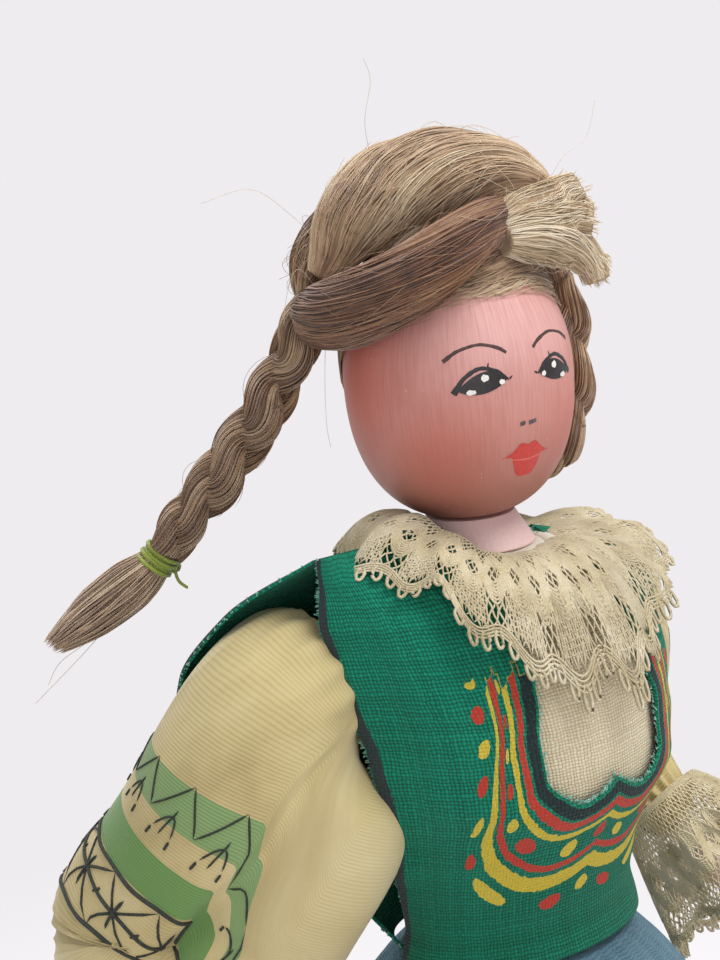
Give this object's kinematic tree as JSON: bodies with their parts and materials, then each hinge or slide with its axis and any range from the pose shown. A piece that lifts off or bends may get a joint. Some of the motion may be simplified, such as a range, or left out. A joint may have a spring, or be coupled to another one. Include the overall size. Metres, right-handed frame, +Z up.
{
  "type": "wire costume doll",
  "caption": "Posable wire-bodied costume doll with a turned wooden head, yarn braids, green bodice, banded sleeves, lace and a gathered skirt; stands on its shoes.",
  "frame": {"origin": "on the floor under the middle of the skirt, between the shoes", "axes": "+Z up the doll, -Y the way it faces, -X its right hand"},
  "size_m": [0.12, 0.12, 0.2493],
  "materials": {
    "iron": "dull drawn wire",
    "cotton": "wound cotton",
    "painted_wood": "flesh paint, blushed cheeks",
    "pale_wood": "pale flesh paint",
    "cream_cloth": "plain weave",
    "green_cloth": "coarse plain weave, printed trim",
    "lace": "bobbin lace",
    "blue_cloth": "plain weave",
    "hair": "yarn roving",
    "thread": "twisted thread",
    "black_paint": "black paint",
    "leather": "smooth"
  },
  "bodies": {
    "torso": {"spine_wire": "iron", "shoulder_wire": "iron", "hip_wire": "iron", "torso_padding": "cotton", "neck": "pale_wood", "chemise_front": "cream_cloth", "bodice_front": "green_cloth", "bodice_back": "green_cloth", "lace_collar": "lace", "waistband": "blue_cloth", "skirt": "blue_cloth"},
    "head": {"head": "painted_wood", "hair_cap": "hair", "hair_roll_top": "hair", "hair_roll_side": "hair", "hair_front_lock": "hair", "braid_left": "hair", "tie_left": "thread", "tassel_left": "hair"},
    "braid_right": {"braid_right": "hair", "tie_right": "thread", "tassel_right": "hair"},
    "upper_arm_right": {"arm_wire_upper_right": "iron", "arm_padding_upper_right": "cotton", "sleeve_right": "cream_cloth"},
    "forearm_right": {"arm_wire_lower_right": "iron", "arm_padding_lower_right": "cotton", "lace_cuff_right": "lace", "hand_right": "pale_wood"},
    "thigh_right": {"leg_wire_upper_right": "iron", "leg_padding_upper_right": "cotton"},
    "shin_right": {"leg_wire_lower_right": "iron", "stocking_right": "cream_cloth", "shoe_right": "black_paint", "sole_right": "leather"},
    "upper_arm_left": {"arm_wire_upper_left": "iron", "arm_padding_upper_left": "cotton", "sleeve_left": "cream_cloth"},
    "forearm_left": {"arm_wire_lower_left": "iron", "arm_padding_lower_left": "cotton", "lace_cuff_left": "lace", "hand_left": "pale_wood"},
    "thigh_left": {"leg_wire_upper_left": "iron", "leg_padding_upper_left": "cotton"},
    "shin_left": {"leg_wire_lower_left": "iron", "stocking_left": "cream_cloth", "shoe_left": "black_paint", "sole_left": "leather"}
  },
  "joints": [
    {"name": "head_turn", "type": "hinge", "parent": "torso", "child": "head", "pos_m": [0, 0.002, 0.196], "axis": [0, 0, 1], "range_deg": [-25, 35], "deforming": ["braid_left", "tie_left", "tassel_left"]},
    {"name": "braid_right_lift", "type": "hinge", "parent": "head", "child": "braid_right", "pos_m": [-0.01525, 0.01212, 0.2306], "axis": [0.64, 0.7683, 0], "range_deg": [-12, 34]},
    {"name": "shoulder_right", "type": "hinge", "parent": "torso", "child": "upper_arm_right", "pos_m": [-0.0275, 0.0016, 0.187], "axis": [-1, 0, 0], "range_deg": [-15, 80]},
    {"name": "elbow_right", "type": "hinge", "parent": "upper_arm_right", "child": "forearm_right", "pos_m": [-0.04433, 0.02067, 0.1511], "axis": [-0.8855, -0.4241, 0.1897], "range_deg": [-50, 40], "deforming": ["sleeve_right"]},
    {"name": "shoulder_left", "type": "hinge", "parent": "torso", "child": "upper_arm_left", "pos_m": [0.0275, 0.0016, 0.187], "axis": [-1, 0, 0], "range_deg": [-15, 80]},
    {"name": "elbow_left", "type": "hinge", "parent": "upper_arm_left", "child": "forearm_left", "pos_m": [0.04237, 0.02762, 0.15478], "axis": [-0.9287, 0.0833, -0.3613], "range_deg": [-65, 25], "deforming": ["sleeve_left"]},
    {"name": "hip_right", "type": "hinge", "parent": "torso", "child": "thigh_right", "pos_m": [-0.01, 0.0016, 0.125], "axis": [-1, 0, 0], "range_deg": [-15, 20]},
    {"name": "knee_right", "type": "hinge", "parent": "thigh_right", "child": "shin_right", "pos_m": [-0.01, 0.0016, 0.067], "axis": [1, 0, 0], "range_deg": [0, 30]},
    {"name": "hip_left", "type": "hinge", "parent": "torso", "child": "thigh_left", "pos_m": [0.01, 0.0016, 0.125], "axis": [-1, 0, 0], "range_deg": [-15, 20]},
    {"name": "knee_left", "type": "hinge", "parent": "thigh_left", "child": "shin_left", "pos_m": [0.01, 0.0016, 0.067], "axis": [1, 0, 0], "range_deg": [0, 30]}
  ]
}
